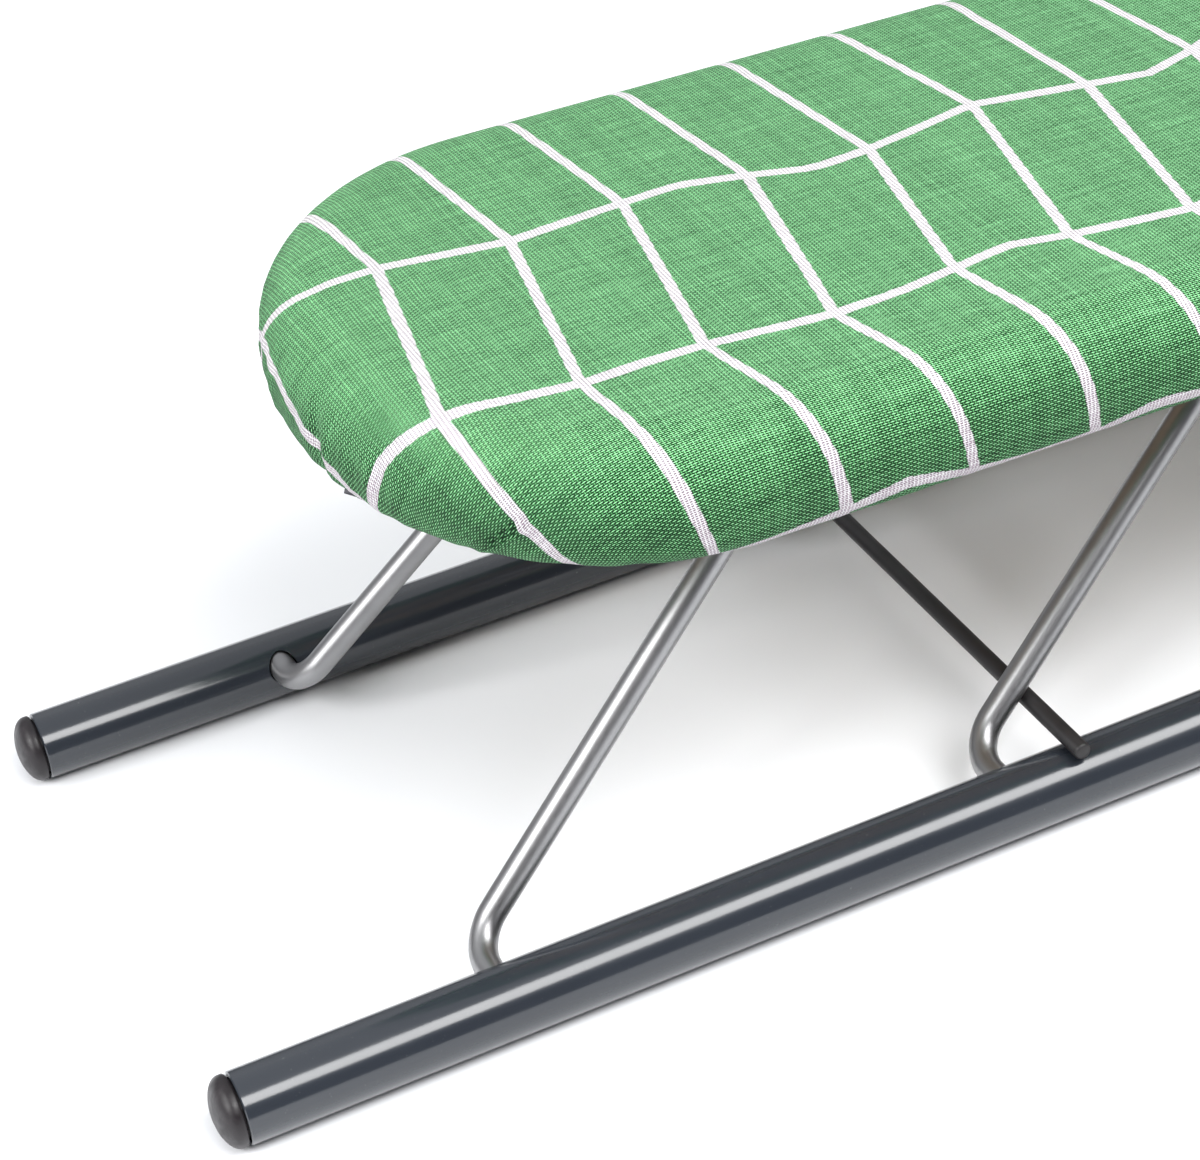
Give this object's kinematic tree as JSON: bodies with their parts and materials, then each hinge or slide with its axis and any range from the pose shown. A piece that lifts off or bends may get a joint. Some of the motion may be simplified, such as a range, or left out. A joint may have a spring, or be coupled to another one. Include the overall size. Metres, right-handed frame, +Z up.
{
  "type": "sleeve ironing board",
  "caption": "Padded sleeve board under a stretched fabric cover, on two folding wire legs hinged to a base of two parallel tubes.",
  "frame": {"origin": "on the floor, under the middle of the overall box", "axes": "+X along the board from its round tip to its rear end, +Y across to the far tube, +Z up"},
  "size_m": [0.559, 0.13, 0.1044],
  "materials": {
    "grey_paint": "gloss",
    "black_plastic": "satin",
    "zinc_steel": "zinc-plated, satin",
    "chipboard": "raw",
    "foam": "matt",
    "green_cotton": "plain weave, printed",
    "elastic": "matt"
  },
  "bodies": {
    "base": {"base_tube_near": "grey_paint", "base_tube_far": "grey_paint", "crossbar_front": "grey_paint", "crossbar_rear": "grey_paint", "end_plug_front_near": "black_plastic", "end_plug_front_far": "black_plastic", "end_plug_rear_near": "black_plastic", "end_plug_rear_far": "black_plastic"},
    "front_leg": {"front_leg": "zinc_steel"},
    "rear_leg": {"rear_leg": "zinc_steel"},
    "board": {"board_panel": "chipboard", "foam_pad": "foam", "fabric_cover": "green_cotton", "hem_elastic": "elastic", "hinge_strip": "chipboard", "saddle_front_near": "zinc_steel", "saddle_front_far": "zinc_steel", "saddle_rear_near": "zinc_steel", "saddle_rear_far": "zinc_steel", "saddle_screw_1": "zinc_steel", "saddle_screw_2": "zinc_steel", "saddle_screw_3": "zinc_steel", "saddle_screw_4": "zinc_steel", "saddle_screw_5": "zinc_steel", "saddle_screw_6": "zinc_steel", "saddle_screw_7": "zinc_steel", "saddle_screw_8": "zinc_steel"}
  },
  "joints": [
    {"name": "front_leg_pivot", "type": "hinge", "parent": "base", "child": "front_leg", "pos_m": [-0.22766, 0, 0.0088], "axis": [0, 1, 0], "range_deg": [-129, 0]},
    {"name": "rear_leg_pivot", "type": "hinge", "parent": "base", "child": "rear_leg", "pos_m": [-0.13096, 0, 0.0088], "axis": [0, 1, 0], "range_deg": [-129, 0]},
    {"name": "board_hinge", "type": "hinge", "parent": "front_leg", "child": "board", "pos_m": [-0.15575, 0, 0.07728], "axis": [0, 1, 0], "range_deg": [0, 129]}
  ],
  "couplings": [
    {"joint": "rear_leg_pivot", "follows": "front_leg_pivot", "ratio": 1},
    {"joint": "board_hinge", "follows": "front_leg_pivot", "ratio": -1}
  ]
}
